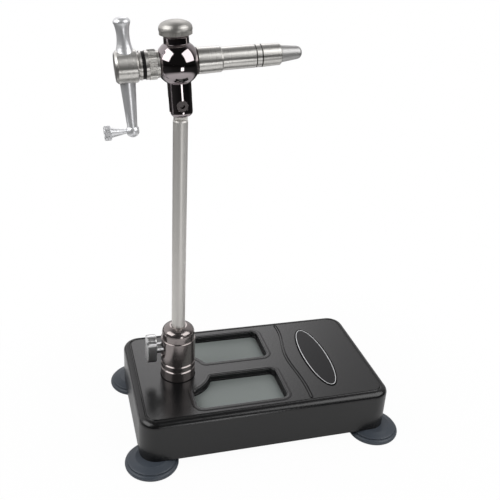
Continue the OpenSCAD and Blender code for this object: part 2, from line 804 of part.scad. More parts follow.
module head_body() {
    slot_l = 2 * stem_r + 2 * cut;
    neck_edge = 2 * small_edge;
    color("#2c2628") on_head() difference() {
        union() {
            translate([0, 0, -stem_drop + stem_round_r]) rotate_extrude() intersection() {
                stem_section();
                translate([0, -stem_round_r]) square([stem_r, spindle_rise + stem_drop]);
            }
            translate([0, 0, spindle_rise]) sphere(r = ball_r);
            translate([0, 0, spindle_rise]) cylinder(h = neck_rise - neck_edge, r = neck_r);
            translate([0, 0, spindle_rise + neck_rise - neck_edge])
                cylinder(h = neck_edge, r1 = neck_r, r2 = neck_r - neck_edge);
        }
        translate([-slot_l / 2, -tongue_t / 2 - slot_gap, -stem_drop - cut])
            cube([slot_l, tongue_t + 2 * slot_gap, stem_drop + cut + slot_rise]);
        rotate([90, 0, 0]) translate([0, 0, pivot_seat_y]) cylinder(h = stem_r, r = pivot_head_r + seat_gap);
        pivot_screw_blank();
        translate([0, 0, spindle_rise]) rotate([0, 90, 0]) {
            cylinder(h = 2 * ball_r, r = bush_seat_r, center = true);
            translate([0, 0, ball_seat]) cylinder(h = ball_r, r = ball_r);
            translate([0, 0, -ball_seat - ball_r]) cylinder(h = ball_r, r = ball_r);
        }
        translate([0, 0, spindle_rise]) cylinder(h = pad_top, r = brake_pad_r + run_gap);
        translate([0, 0, spindle_rise]) cylinder(h = neck_rise + cut, r = brake_stud_r + run_gap);
    }
}

// Socket head screw across the fork, with its head towards the front
module pivot_screw_blank() {
    far_end = stem_r * journal_share;
    rotate([90, 0, 0]) {
        translate([0, 0, pivot_seat_y]) cylinder(h = pivot_head_h, r = pivot_head_r);
        translate([0, 0, -far_end]) cylinder(h = far_end + pivot_seat_y + pivot_head_h / 2, r = pivot_r);
    }
}

module pivot_screw() {
    face_y = pivot_seat_y + pivot_head_h;
    color("#3a3639") on_head() difference() {
        pivot_screw_blank();
        rotate([90, 0, 0]) hex_bar(face_y - pivot_head_h * socket_depth_share, face_y + cut, pivot_socket_af);
    }
}

module spindle_bushes() {
    color("#b08a4e") on_spindle() for (side = [0, 1]) mirror([0, 0, side])
        tube(brake_gap_half, ball_seat, bush_seat_r, spindle_r + run_gap);
}

// The knob's frame: origin at its underside, on the neck
module on_knob() {
    on_head() translate([0, 0, spindle_rise + neck_rise + fit_gap]) children();
}

module brake_knob() {
    crown = [[knob_r, knob_wide_h], [knob_r, knob_h - knob_wide_h * knob_crown_shares[0]],
        [knob_r * knob_crown_shares[1], knob_h], [0, knob_h]];
    flare = [[knob_foot_r, 0], [knob_r * knob_flare_shares[0], knob_band_h * knob_flare_shares[1]],
        [knob_r, knob_band_h * knob_flare_shares[2]], [knob_r, knob_wide_h]];
    color("#a3a29c") on_knob() difference() {
        union() {
            rotate_extrude() difference() {
                polygon(concat([[0, 0]], [for (i = [0 : profile_steps]) bezier(flare, i / profile_steps)],
                    [for (i = [1 : profile_steps]) bezier(crown, i / profile_steps)]));
                translate([knob_r * (1 - knurl_share), small_edge]) square([knob_r, knob_band_h]);
            }
            translate([0, 0, small_edge]) linear_extrude(knob_band_h)
                polygon(knurl_points(knob_r - small_edge / 2, knob_knurl_count));
        }
        translate([0, 0, -cut]) cylinder(h = knob_h / 2 + cut, r = brake_stud_r);
    }
}

module brake_stud() {
    stud_foot = pad_top - neck_rise - fit_gap;
    color("#9a9a98") on_knob() translate([0, 0, stud_foot])
        cylinder(h = knob_h / 2 - stud_foot, r = brake_stud_r);
}

module brake_pad() {
    color("#c9b27a") on_head() translate([0, 0, spindle_rise + pad_rise])
        cylinder(h = pad_top - pad_rise - run_gap, r = brake_pad_r);
}

// Draw pin along the head's vertical, at station s
module pin_across(s, half_l, r) {
    translate([-half_l, 0, s]) rotate([0, 90, 0]) cylinder(h = 2 * half_l, r = r);
}

module spindle() {
    slot_w = 2 * draw_pin_r + 2 * seat_gap;
    slot_l = draw_travel + slot_w;
    color("#b9b7b2") on_spindle() difference() {
        translate([0, 0, s_hub_end + hub_bevel])
            cylinder(h = s_spindle_end - s_hub_end - hub_bevel, r = spindle_r);
        translate([0, 0, s_drawbar_rear - draw_travel - cut])
            cylinder(h = s_spindle_end - s_drawbar_rear + draw_travel + 2 * cut, r = drawbar_r + run_gap);
        translate([-2 * spindle_r, -slot_w / 2, s_draw_pin - draw_travel - slot_w / 2])
            cube([4 * spindle_r, slot_w, slot_l]);
    }
}

module thrust_collar() {
    color("#b5b4ae") on_spindle() difference() {
        tube(s_thrust - thrust_l, s_thrust, thrust_r, spindle_r);
        translate([0, 0, s_thrust - thrust_l - cut])
            tube(0, cut + small_edge, ring_r + cut, thrust_r - small_edge);
    }
}

// Turned collar with two flanges and the O-ring's groove between them
module ring_collar() {
    floor_r = oring_r - oring_t;
    neck_r = (flange_r + floor_r) / 2;
    s0 = s_collar - collar_l;
    s1 = s0 + collar_neck_l;
    s2 = s1 + flange_t;
    s3 = s2 + oring_w;
    color("#b5b4ae") on_spindle() rotate_extrude() polygon([[spindle_r, s0], [neck_r, s0], [neck_r, s1],
        [flange_r, s1], [flange_r, s2], [floor_r, s2], [floor_r, s3], [flange_r, s3],
        [flange_r, s_collar], [spindle_r, s_collar]]);
}

module o_ring() {
    w = oring_w - seat_gap;
    edge_r = oring_t / 2 - run_gap;
    color("#141414") on_spindle() rotate_extrude()
        translate([oring_r - oring_t / 2, s_collar - flange_t - oring_w / 2])
        rounded_rect(oring_t, w, edge_r);
}

module jaw_ring() {
    band = 2 * small_edge;
    s0 = s_ring - ring_l;
    color("#a9a8a2") on_spindle() difference() {
        union() {
            translate([0, 0, s0]) cylinder(h = ring_l, r = ring_r * (1 - knurl_share) - small_edge / 2);
            translate([0, 0, s0 + band]) linear_extrude(ring_l - band - small_edge)
                polygon(knurl_points(ring_r, ring_knurl_count));
        }
        translate([0, 0, s0 - cut]) cylinder(h = ring_l + 2 * cut, r = spindle_r + run_gap);
        translate([0, 0, s_chamber - ring_chamber_l]) cylinder(h = ring_chamber_l, r = ring_chamber_r);
    }
}

module crank_hub() {
    edge = 2 * small_edge;
    socket = hub_r - spindle_r;
    color("#b4b4b0") on_spindle() difference() {
        rotate_extrude() polygon([[0, s_hub_end], [hub_r - hub_bevel, s_hub_end],
            [hub_r, s_hub_end + hub_bevel], [hub_r, s_hub - edge], [hub_r - edge, s_hub], [0, s_hub]]);
        translate([0, 0, s_hub_end + hub_bevel]) cylinder(h = hub_l, r = spindle_r);
        pin_across(s_arm, hub_r + cut, lever_spigot_r());
        translate([0, 0, s_arm]) rotate([-90, 0, 0]) cylinder(h = hub_r + socket, r = set_screw_r());
    }
}

function lever_spigot_r() = arm_tip_r - small_edge;
function set_screw_r() = arm_tip_r / 2;

module hub_set_screw() {
    flush = hub_r - small_edge;
    color("#2a2a2b") on_spindle() translate([0, 0, s_arm]) rotate([-90, 0, 0]) difference() {
        translate([0, 0, spindle_r]) cylinder(h = flush - spindle_r, r = set_screw_r());
        hex_bar(flush - set_screw_r(), hub_r + cut, set_screw_r());
    }
}

// Frame of the crank's arms: origin on the spindle's axis, z up through the lever
module on_arms() {
    on_head() translate([s_arm, 0, spindle_rise]) children();
}

module crank_lever() {
    foot = sqrt(pow(hub_r, 2) - pow(lever_root_r, 2));
    span = lever_rise - hub_r;
    rises = [for (k = lever_rise_shares) hub_r + span * k];
    waist = [[lever_root_r, foot], [lever_waist_r - small_edge, rises[0]],
        [lever_waist_r - small_edge, rises[1]], [lever_end_r, rises[2]]];
    crown = [[lever_end_r, rises[2]], [lever_end_r, rises[3]],
        [lever_end_r * lever_crown_share, lever_rise], [0, lever_rise]];
    color("#d2d3d3") on_arms() {
        difference() {
            rotate_extrude() polygon(concat([[0, foot]],
                [for (i = [0 : profile_steps]) bezier(waist, i / profile_steps)],
                [for (i = [1 : profile_steps]) bezier(crown, i / profile_steps)]));
            rotate([0, 90, 0]) cylinder(h = 2 * hub_l, r = hub_r, center = true);
        }
        translate([0, 0, spindle_r]) cylinder(h = hub_r - spindle_r + lever_waist_r, r = lever_spigot_r());
    }
}

module crank_arm() {
    foot = sqrt(pow(hub_r, 2) - pow(arm_root_r, 2));
    color("#d2d3d3") on_arms() difference() {
        union() {
            difference() {
                translate([0, 0, -crank_throw])
                    cylinder(h = crank_throw - foot, r1 = arm_tip_r, r2 = arm_root_r);
                rotate([0, 90, 0]) cylinder(h = 2 * hub_l, r = hub_r, center = true);
            }
            translate([0, 0, -hub_r - lever_waist_r])
                cylinder(h = hub_r - spindle_r + lever_waist_r, r = lever_spigot_r());
            translate([0, 0, -crank_throw]) sphere(r = arm_ball_r);
        }
        translate([0, 0, -crank_throw]) rotate([0, 90, 0]) {
            cylinder(h = 2 * arm_ball_r + cut, r = handle_journal_r + run_gap, center = true);
            translate([0, 0, arm_ball_r - handle_screw_h() - seat_gap])
                cylinder(h = arm_ball_r, r = handle_screw_r() + seat_gap);
        }
    }
}

function handle_screw_r() = arm_ball_r / 2;
function handle_screw_h() = arm_ball_r / 3;

// Frame of the handle: origin at the arm's ball, z away from the hub
module on_handle() {
    on_arms() translate([0, 0, -crank_throw]) rotate([0, -90, 0]) children();
}

module crank_handle() {
    start = sqrt(pow(arm_ball_r, 2) - pow(handle_small_r, 2)) + seat_gap;
    journal_end = arm_ball_r - handle_screw_h();
    edge = small_edge;
    color("#c2c3c3") on_handle() difference() {
        union() {
            translate([0, 0, -journal_end]) cylinder(h = journal_end + start + cut, r = handle_journal_r);
            translate([0, 0, start])
                cylinder(h = handle_reach - disc_t - start, r1 = handle_small_r, r2 = handle_big_r);
            translate([0, 0, handle_reach - disc_t])
                cylinder(h = disc_t, r = disc_r * (1 - knurl_share) - edge / 2);
            translate([0, 0, handle_reach - disc_t + edge]) linear_extrude(disc_t - 2 * edge)
                polygon(knurl_points(disc_r, disc_knurl_count));
        }
        translate([0, 0, handle_reach - edge])
            cylinder(h = edge + cut, r1 = disc_r / 2, r2 = disc_r * socket_depth_share);
        translate([0, 0, -journal_end - cut]) cylinder(h = journal_end + cut, r = handle_journal_r / 2);
    }
}

module handle_screw() {
    seat = -arm_ball_r + handle_screw_h();
    color("#9a9a98") on_handle() difference() {
        union() {
            translate([0, 0, seat - handle_screw_h() + small_edge])
                cylinder(h = handle_screw_h() - small_edge, r = handle_screw_r());
            translate([0, 0, seat]) cylinder(h = -seat, r = handle_journal_r / 2);
        }
        hex_bar(seat - 2 * handle_screw_h(), seat - handle_screw_h() / 2, handle_journal_r);
    }
}

module front_collar() {
    edge = 2 * small_edge;
    color("#b9b6b0") on_spindle() rotate_extrude() polygon([[spindle_r, s_front], [front_r, s_front],
        [front_r - small_edge / 2, s_sleeve - edge], [front_r - edge, s_sleeve], [spindle_r, s_sleeve]]);
}

module nose_sleeve() {
    spigot_l = spindle_lap - seat_gap;
    relief = s_tail - 2 * draw_travel - jaw_bore_r;
    g0 = s_cap - sleeve_band_w - 2 * sleeve_groove_w;
    g1 = s_cap - sleeve_groove_w;
    groove_r = sleeve_r - sleeve_groove_depth;
    color("#bdbab4") on_spindle() difference() {
        union() {
            translate([0, 0, s_sleeve - spigot_l]) cylinder(h = spigot_l, r = spindle_r);
            rotate_extrude() polygon([[0, s_sleeve], [sleeve_r, s_sleeve], [sleeve_r, g0], [groove_r, g0],
                [groove_r, g0 + sleeve_groove_w], [sleeve_r - run_gap, g0 + sleeve_groove_w],
                [sleeve_r - run_gap, g1], [groove_r, g1], [groove_r, s_cap], [0, s_cap]]);
            translate([0, 0, s_cap]) cylinder(h = cap_lap, r = cap_spigot_r);
        }
        translate([0, 0, s_sleeve - spigot_l - cut]) cylinder(h = sleeve_l, r = drawbar_r + run_gap);
        translate([0, 0, relief]) cylinder(h = sleeve_l, r = jaw_bore_r);
    }
}

module nose_cap() {
    edge = small_edge;
    color("#c0bdb7") on_spindle() difference() {
        rotate_extrude() polygon([[0, s_cap], [sleeve_r, s_cap], [cap_tip_r, s_cap_end - edge],
            [cap_tip_r - edge, s_cap_end], [0, s_cap_end]]);
        translate([0, 0, s_cap - cut]) cylinder(h = cap_lap + cut, r = cap_spigot_r);
        translate([0, 0, s_cap]) cylinder(h = cap_l + cut, r = jaw_bore_r);
        translate([0, 0, s_cap_end - mouth_l]) cylinder(h = mouth_l + cut, r = mouth_r);
        jaw_pin_blanks(jaw_pin_r);
    }
}

module jaw_pin_blanks(r) {
    half_l = sqrt(pow(cap_tip_r, 2) - pow(jaw_pin_y + jaw_pin_r, 2)) + small_edge / 2;
    for (side = [-1, 1]) translate([0, side * jaw_pin_y, 0]) pin_across(s_jaw_pin, half_l, r);
}

module jaw_pins() {
    color("#a5a5a3") on_spindle() jaw_pin_blanks(jaw_pin_r);
}

module drawbar() {
    color("#a5a5a3") on_spindle() difference() {
        union() {
            translate([0, 0, s_drawbar_rear]) cylinder(h = s_cone_root - s_drawbar_rear, r = drawbar_r);
            translate([0, 0, s_cone_root])
                cylinder(h = s_cone_end - s_cone_root, r1 = drawbar_r, r2 = cone_end_r);
        }
        pin_across(s_draw_pin, 2 * drawbar_r, draw_pin_r);
    }
}

module draw_pin() {
    color("#a5a5a3") on_spindle() pin_across(s_draw_pin, ring_chamber_r - 2 * seat_gap, draw_pin_r);
}

// Both jaws in one turned piece, before the slit divides them
module jaw_blank() {
    lip = s_cap_end + fit_gap + seat_gap;
    tip_c = s_tip - jaw_tip_l;
    tip = [[jaw_tip_r, tip_c], [jaw_tip_r * jaw_tip_shares[0], tip_c + jaw_tip_l * jaw_tip_shares[1]],
        [jaw_tip_r * jaw_tip_shares[2], s_tip], [0, s_tip]];
    rotate_extrude() polygon(concat([[0, s_tail], [jaw_shank_r, s_tail], [jaw_shank_r, lip],
        [jaw_root_r, lip]], [for (i = [0 : profile_steps]) bezier(tip, i / profile_steps)]));
}

module jaw_half() {
    difference() {
        intersection() {
            jaw_blank();
            translate([-2 * jaw_root_r, jaw_gap / 2, s_tail])
                cube([4 * jaw_root_r, 2 * jaw_root_r, s_tip - s_tail]);
        }
        translate([-2 * jaw_root_r, 0, s_tail - cut]) cube([4 * jaw_root_r, tail_gap, jaw_tail_l + cut]);
        translate([0, jaw_pin_y, 0]) pin_across(s_jaw_pin, 2 * jaw_root_r, jaw_pin_r + run_gap);
    }
}

module left_jaw() {
    color("#8f8e8b") on_spindle() jaw_half();
}

module right_jaw() {
    color("#8f8e8b") on_spindle() mirror([0, 1, 0]) jaw_half();
}

base_shell();
tray_liners();
oval_plate();
ballast_plate();
bottom_cover();
cover_screws();
suction_feet();
foot_studs();
column_clamp();
clamp_nut();
wing_screw();
clamp_bush();
column_rod();
head_body();
pivot_screw();
spindle_bushes();
brake_knob();
brake_stud();
brake_pad();
spindle();
thrust_collar();
ring_collar();
o_ring();
jaw_ring();
crank_hub();
hub_set_screw();
crank_lever();
crank_arm();
crank_handle();
handle_screw();
front_collar();
nose_sleeve();
nose_cap();
jaw_pins();
drawbar();
draw_pin();
left_jaw();
right_jaw();
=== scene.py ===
import json
import math

import bmesh
import bpy
from mathutils import Matrix, Vector


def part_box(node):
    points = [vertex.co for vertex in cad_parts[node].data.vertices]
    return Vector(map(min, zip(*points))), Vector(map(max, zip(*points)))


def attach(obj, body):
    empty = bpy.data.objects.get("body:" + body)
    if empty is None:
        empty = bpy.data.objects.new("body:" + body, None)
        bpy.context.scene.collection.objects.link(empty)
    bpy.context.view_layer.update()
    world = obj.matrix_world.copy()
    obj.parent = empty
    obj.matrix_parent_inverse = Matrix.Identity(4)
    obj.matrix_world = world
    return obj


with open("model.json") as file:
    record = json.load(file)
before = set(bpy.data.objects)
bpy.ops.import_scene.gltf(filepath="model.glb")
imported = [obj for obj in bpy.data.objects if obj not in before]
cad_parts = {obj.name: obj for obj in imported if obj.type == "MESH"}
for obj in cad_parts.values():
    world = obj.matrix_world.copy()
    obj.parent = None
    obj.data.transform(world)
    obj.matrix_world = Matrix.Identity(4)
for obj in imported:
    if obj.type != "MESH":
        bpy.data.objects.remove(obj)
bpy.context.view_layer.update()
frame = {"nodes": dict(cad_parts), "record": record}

nodes = frame["nodes"]
MM = 0.001
WHITE = (1, 1, 1, 1)
RIGHT, UP = Vector((1, 0, 0)), Vector((0, 0, 1))

# camera, fitted to the photograph: its place in mm, its directions to the right and up, its lens in mm
CAMERA_AT = Vector((-144.63, -442.21, 373.6))
CAMERA_RIGHT = Vector((0.9613, -0.2701, 0.0544))
CAMERA_UP = Vector((0.0731, 0.4404, 0.8948))
CAMERA_LENS, SENSOR_WIDTH = 50.41, 36
CLIP_NEAR, CLIP_FAR = 0.01, 50


def make_camera():
    """Camera with its three directions made square to each other"""
    back = CAMERA_RIGHT.cross(CAMERA_UP).normalized()
    up = back.cross(CAMERA_RIGHT).normalized()
    right = up.cross(back).normalized()
    camera = bpy.data.objects.new("camera", bpy.data.cameras.new("camera"))
    bpy.context.scene.collection.objects.link(camera)
    turn = Matrix((right, up, back)).transposed().to_4x4()
    camera.matrix_world = Matrix.Translation(CAMERA_AT * MM) @ turn
    camera.data.lens = CAMERA_LENS
    camera.data.sensor_width = SENSOR_WIDTH
    camera.data.clip_start = CLIP_NEAR
    camera.data.clip_end = CLIP_FAR
    bpy.context.scene.camera = camera


# shader nodes
def add(tree, kind, **values):
    """New node with its inputs and settings as named"""
    node = tree.nodes.new(kind)
    for key, value in values.items():
        if key in node.inputs:
            node.inputs[key].default_value = value
        else:
            setattr(node, key, value)
    return node


def ranged(tree, value, low, high, at_low, at_high, kind="SMOOTHSTEP"):
    """A value between two limits, mapped to the range between two others"""
    node = add(tree, "ShaderNodeMapRange", interpolation_type=kind)
    limits = {"From Min": low, "From Max": high, "To Min": at_low, "To Max": at_high}
    for name, limit in limits.items():
        node.inputs[name].default_value = limit
    tree.links.new(value, node.inputs["Value"])
    return node.outputs["Result"]


def reach(tree, place, way):
    """How far a place or direction reaches along a way"""
    node = add(tree, "ShaderNodeVectorMath", operation="DOT_PRODUCT")
    node.inputs[1].default_value = way
    tree.links.new(place, node.inputs[0])
    return node.outputs["Value"]


def combined(tree, operation, first, second):
    """Two values, multiplied or added"""
    node = add(tree, "ShaderNodeMath", operation=operation)
    tree.links.new(first, node.inputs[0])
    tree.links.new(second, node.inputs[1])
    return node.outputs["Value"]


def mixed(tree, share, first, second):
    """Shader that goes from the first to the second as the share goes from 0 to 1"""
    node = add(tree, "ShaderNodeMixShader")
    tree.links.new(share, node.inputs["Fac"])
    tree.links.new(first, node.inputs[1])
    tree.links.new(second, node.inputs[2])
    return node.outputs["Shader"]


# materials: depth of their relief and reach of their softened edges, in metres
MOULDED_DEPTH, GROUND_DEPTH, TURNED_DEPTH = 0.0002, 0.0001, 0.00004
WIDE_EDGE, FINE_EDGE, SHARP_EDGE = 0.0003, 0.0002, 0.00008
# axes of the turned pieces: letter of the axis that the tangent goes round, and direction
HEAD_TILT = math.radians(4.6)
HEAD_X = ("X", (math.cos(HEAD_TILT), 0.0, math.sin(HEAD_TILT)))
HEAD_Z = ("Z", (-math.sin(HEAD_TILT), 0.0, math.cos(HEAD_TILT)))
UPRIGHT = ("Z", tuple(UP))
# turning marks: detail of their noise, share of its finer steps, and the range where most of its values lie
MARKS_DETAIL, MARKS_MIX, NOISE_LOW, NOISE_HIGH = 3.0, 0.6, 0.3, 0.7
# turn that lays the gloss of turned metal along its axis, and samples of a softened edge
QUARTER_TURN, EDGE_SAMPLES = 0.25, 6


def shader_of(mat):
    """The material's own shader"""
    return mat.node_tree.nodes["Principled BSDF"]


def new_material(name, color, metallic=0.0, roughness=0.5, specular=0.5):
    """Material with plain values, before its texture"""
    mat = bpy.data.materials.new(name)
    mat.use_nodes = True
    mat.diffuse_color = (*color, 1)
    inputs = shader_of(mat).inputs
    inputs["Base Color"].default_value = (*color, 1)
    inputs["Metallic"].default_value = metallic
    inputs["Roughness"].default_value = roughness
    inputs["Specular IOR Level"].default_value = specular
    return mat


def bump_from(mat, height, strength, depth, edge):
    """Bump from a texture, on edges that are softened where edge isn't zero"""
    tree = mat.node_tree
    bump = add(tree, "ShaderNodeBump", Strength=strength, Distance=depth)
    tree.links.new(height, bump.inputs["Height"])
    if edge:
        bevel = add(tree, "ShaderNodeBevel", samples=EDGE_SAMPLES, Radius=edge)
        tree.links.new(bevel.outputs["Normal"], bump.inputs["Normal"])
    tree.links.new(bump.outputs["Normal"], shader_of(mat).inputs["Normal"])


def grain(mat, scale, strength, depth, detail=2.0, edge=0.0):
    """Fine moulded or ground texture"""
    tree = mat.node_tree
    coords = add(tree, "ShaderNodeTexCoord")
    noise = add(tree, "ShaderNodeTexNoise", Scale=scale, Detail=detail)
    tree.links.new(coords.outputs["Object"], noise.inputs["Vector"])
    bump_from(mat, noise.outputs["Fac"], strength, depth, edge)


def turned(mat, axis, scale, strength, gloss, stretch, edge):
    """Turned surface: marks round an axis set bump and roughness, and the gloss spreads along the axis"""
    letter, way = axis
    tree = mat.node_tree
    inputs = shader_of(mat).inputs
    coords = add(tree, "ShaderNodeTexCoord")
    noise = add(tree, "ShaderNodeTexNoise", noise_dimensions="1D", Scale=scale, Detail=MARKS_DETAIL)
    noise.inputs["Roughness"].default_value = MARKS_MIX
    tree.links.new(reach(tree, coords.outputs["Object"], way), noise.inputs["W"])
    bump_from(mat, noise.outputs["Fac"], strength, TURNED_DEPTH, edge)
    spread = ranged(tree, noise.outputs["Fac"], NOISE_LOW, NOISE_HIGH, *gloss, "LINEAR")
    tree.links.new(spread, inputs["Roughness"])
    inputs["Anisotropic"].default_value = stretch
    inputs["Anisotropic Rotation"].default_value = QUARTER_TURN
    tangent = add(tree, "ShaderNodeTangent", direction_type="RADIAL", axis=letter)
    tree.links.new(tangent.outputs["Tangent"], inputs["Tangent"])


def base_black():
    """Base: glossy black plastic with a fine grain"""
    mat = new_material("base_black", (0.006, 0.006, 0.0063), roughness=0.24)
    grain(mat, scale=900, strength=0.25, depth=MOULDED_DEPTH, detail=3.0, edge=WIDE_EDGE)
    return mat


def tray_grey():
    """Floors of the trays"""
    mat = new_material("tray_grey", (0.205, 0.226, 0.218), specular=0.2)
    grain(mat, scale=60, strength=0.05, depth=MOULDED_DEPTH)
    return mat


def oval_black():
    """Oval plate"""
    mat = new_material("oval_black", (0.005, 0.005, 0.006), roughness=0.3, specular=0.2)
    grain(mat, scale=300, strength=0.05, depth=GROUND_DEPTH)
    return mat


def foot_rubber():
    """Suction feet: dark bluish rubber"""
    mat = new_material("foot_rubber", (0.05, 0.06, 0.075), roughness=0.42, specular=0.4)
    grain(mat, scale=500, strength=0.12, depth=MOULDED_DEPTH, edge=WIDE_EDGE)
    return mat


def black_rubber():
    """Ring in the collar's groove"""
    mat = new_material("black_rubber", (0.006, 0.006, 0.006), specular=0.3)
    grain(mat, scale=900, strength=0.1, depth=GROUND_DEPTH)
    return mat


def smoked_chrome():
    """Head: dark polished chrome"""
    mat = new_material("smoked_chrome", (0.36, 0.32, 0.33), metallic=1, roughness=0.06)
    grain(mat, scale=40, strength=0.02, depth=MOULDED_DEPTH, detail=1.0, edge=FINE_EDGE)
    return mat


def clamp_nickel():
    """Column clamp: dark nickel with faint turning marks"""
    mat = new_material("clamp_nickel", (0.28, 0.25, 0.243), metallic=0.9, roughness=0.16)
    turned(mat, UPRIGHT, scale=2500, strength=0.12, gloss=(0.14, 0.22), stretch=0.4, edge=WIDE_EDGE)
    return mat


def bright_nickel():
    """Crank: its lever, arm and handle"""
    mat = new_material("bright_nickel", (0.84, 0.845, 0.86), metallic=0.62, roughness=0.34)
    grain(mat, scale=300, strength=0.05, depth=GROUND_DEPTH, edge=WIDE_EDGE)
    return mat


def wing_shaded_nickel():
    """Wing screw of the clamp: its nickel darker than the crank's, as painted shade on its side"""
    mat = new_material("wing_shaded_nickel", (0.62, 0.62, 0.62), metallic=1, roughness=0.28)
    grain(mat, scale=300, strength=0.1, depth=GROUND_DEPTH, edge=WIDE_EDGE)
    return mat


def satin_nickel():
    """Spindle and what sits on it: collars, hub, knurled ring, sleeve and cap"""
    mat = new_material("satin_nickel", (0.7, 0.685, 0.655), metallic=0.84, roughness=0.3)
    turned(mat, HEAD_X, scale=3500, strength=0.09, gloss=(0.27, 0.35), stretch=0.75, edge=SHARP_EDGE)
    return mat


def satin_knob():
    """Brake knob: the same metal, duller"""
    mat = new_material("satin_knob", (0.5, 0.487, 0.46), metallic=0.85, roughness=0.42)
    turned(mat, HEAD_Z, scale=3500, strength=0.15, gloss=(0.36, 0.46), stretch=0.4, edge=FINE_EDGE)
    return mat


def satin_rod():
    """Column rod"""
    mat = new_material("satin_rod", (0.72, 0.7, 0.67), metallic=0.6, roughness=0.4)
    turned(mat, UPRIGHT, scale=2600, strength=0.2, gloss=(0.4, 0.48), stretch=0.3, edge=FINE_EDGE)
    return mat


def jaw_steel():
    """Jaws"""
    mat = new_material("jaw_steel", (0.5, 0.495, 0.49), metallic=0.72, roughness=0.42)
    turned(mat, HEAD_X, scale=3000, strength=0.1, gloss=(0.38, 0.46), stretch=0.3, edge=FINE_EDGE)
    return mat


def dark_steel():
    """Blackened screws"""
    mat = new_material("dark_steel", (0.05, 0.045, 0.045), metallic=1, roughness=0.3)
    grain(mat, scale=600, strength=0.05, depth=GROUND_DEPTH)
    return mat


def plain_steel():
    """Hidden steel pieces"""
    mat = new_material("plain_steel", (0.5, 0.5, 0.49), metallic=1, roughness=0.35)
    grain(mat, scale=600, strength=0.05, depth=GROUND_DEPTH)
    return mat


def bronze():
    """Bushes of the spindle"""
    mat = new_material("bronze", (0.5, 0.32, 0.14), metallic=1, roughness=0.4)
    grain(mat, scale=900, strength=0.1, depth=GROUND_DEPTH)
    return mat


def bush_nylon():
    """Bush of the column and brake pad"""
    mat = new_material("bush_nylon", (0.6, 0.56, 0.46))
    grain(mat, scale=500, strength=0.05, depth=GROUND_DEPTH)
    return mat


def groove_painted_shade():
    """Painted shade: dark lines in the sleeve's grooves"""
    mat = new_material("groove_painted_shade", (0.03, 0.028, 0.026), specular=0.3)
    grain(mat, scale=600, strength=0.05, depth=GROUND_DEPTH)
    return mat


def painted_shade_black():
    """Painted shade: dull black for the rings that stand for the shadow round the oval plate and in the
    corner at the clamp's foot
    """
    mat = new_material("painted_shade_black", (0.002, 0.002, 0.002), roughness=0.7, specular=0.1)
    grain(mat, scale=300, strength=0.03, depth=GROUND_DEPTH)
    return mat


def oval_border():
    """Silver line on the oval plate"""
    mat = new_material("oval_border", (0.75, 0.76, 0.77), metallic=1, roughness=0.4)
    grain(mat, scale=300, strength=0.03, depth=GROUND_DEPTH)
    return mat


def make_materials():
    """All materials, those of the record's slots under the slot's name"""
    return {
        "base_black": base_black(),
        "tray_grey": tray_grey(),
        "oval_black": oval_black(),
        "foot_rubber": foot_rubber(),
        "black_rubber": black_rubber(),
        "smoked_chrome": smoked_chrome(),
        "clamp_nickel": clamp_nickel(),
        "bright_nickel": bright_nickel(),
        "wing_shaded_nickel": wing_shaded_nickel(),
        "satin_nickel": satin_nickel(),
        "satin_knob": satin_knob(),
        "satin_rod": satin_rod(),
        "jaw_steel": jaw_steel(),
        "dark_steel": dark_steel(),
        "plain_steel": plain_steel(),
        "bronze": bronze(),
        "bush_nylon": bush_nylon(),
        "groove_painted_shade": groove_painted_shade(),
        "painted_shade_black": painted_shade_black(),
        "oval_border": oval_border(),
    }


# nodes that look different from the other nodes of their slot
# the wing screw's darker nickel is painted shade
OWN_LOOKS = {"column_clamp": "clamp_nickel", "brake_knob": "satin_knob", "wing_screw": "wing_shaded_nickel"}


def dress(mats):
    """Gives each node of the frame its material"""
    slots = {part["node"]: part["material_slot"] for part in frame["record"]["subparts"]}
    for name, obj in nodes.items():
        mat = mats[OWN_LOOKS.get(name, slots[name])]
        if obj.material_slots:
            for place in obj.material_slots:
                place.material = mat
        else:
            obj.data.materials.append(mat)


# pieces that the scene adds, all in mm
def box_mm(node):
    """Lowest and highest corner of a node at rest"""
    low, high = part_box(node)
    return low / MM, high / MM


def face_outward(mesh):
    """Turns all faces of a closed mesh outward"""
    solid = bmesh.new()
    solid.from_mesh(mesh)
    bmesh.ops.recalc_face_normals(solid, faces=solid.faces)
    solid.to_mesh(mesh)
    solid.free()


def band(name, sections, mat, body, closed=True, smooth=False):
    """Solid band through a row of sections with equal point counts, closed to a ring or with two end faces"""
    rows, n = len(sections), len(sections[0])
    faces = []
    for i in range(rows if closed else rows - 1):
        j = (i + 1) % rows
        for k in range(n):
            after = (k + 1) % n
            faces.append((n * i + k, n * i + after, n * j + after, n * j + k))
    if not closed:
        faces.append(tuple(range(n)))
        faces.append(tuple(range(n * (rows - 1), n * rows)))
    mesh = bpy.data.meshes.new(name)
    mesh.from_pydata([place * MM for section in sections for place in section], [], faces)
    face_outward(mesh)
    for face in mesh.polygons:
        face.use_smooth = smooth
    mesh.materials.append(mat)
    obj = bpy.data.objects.new(name, mesh)
    bpy.context.scene.collection.objects.link(obj)
    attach(obj, body)


def turns(sides):
    """Angles of a full turn in equal steps"""
    return [2 * math.pi * i / sides for i in range(sides)]


# rings on the oval plate: distance in from its edge, width, and height over its top; the outer one is painted
# shade, a dark ring round the plate's edge
SHADE_RING = (0.05, 1.1, 0.03)
BORDER_RING = (1.15, 0.55, 0.05)
RING_SUNK, RING_SIDES = 0.05, 96


def oval_ring(name, mat, sizes):
    """Thin raised ring on the oval plate, parallel to its edge"""
    inset, width, height = sizes
    low, high = box_mm("oval_plate")
    middle, half = (low + high) / 2, (high - low) / 2
    inner = inset + width
    corners = ((inset, -RING_SUNK), (inset, height), (inner, height), (inner, -RING_SUNK))
    sections = []
    for a in turns(RING_SIDES):
        section = []
        for inward, rise in corners:
            across, along = (half.x - inward) * math.cos(a), (half.y - inward) * math.sin(a)
            section.append(Vector((middle.x + across, middle.y + along, high.z + rise)))
        sections.append(section)
    band(name, sections, mat, "base")


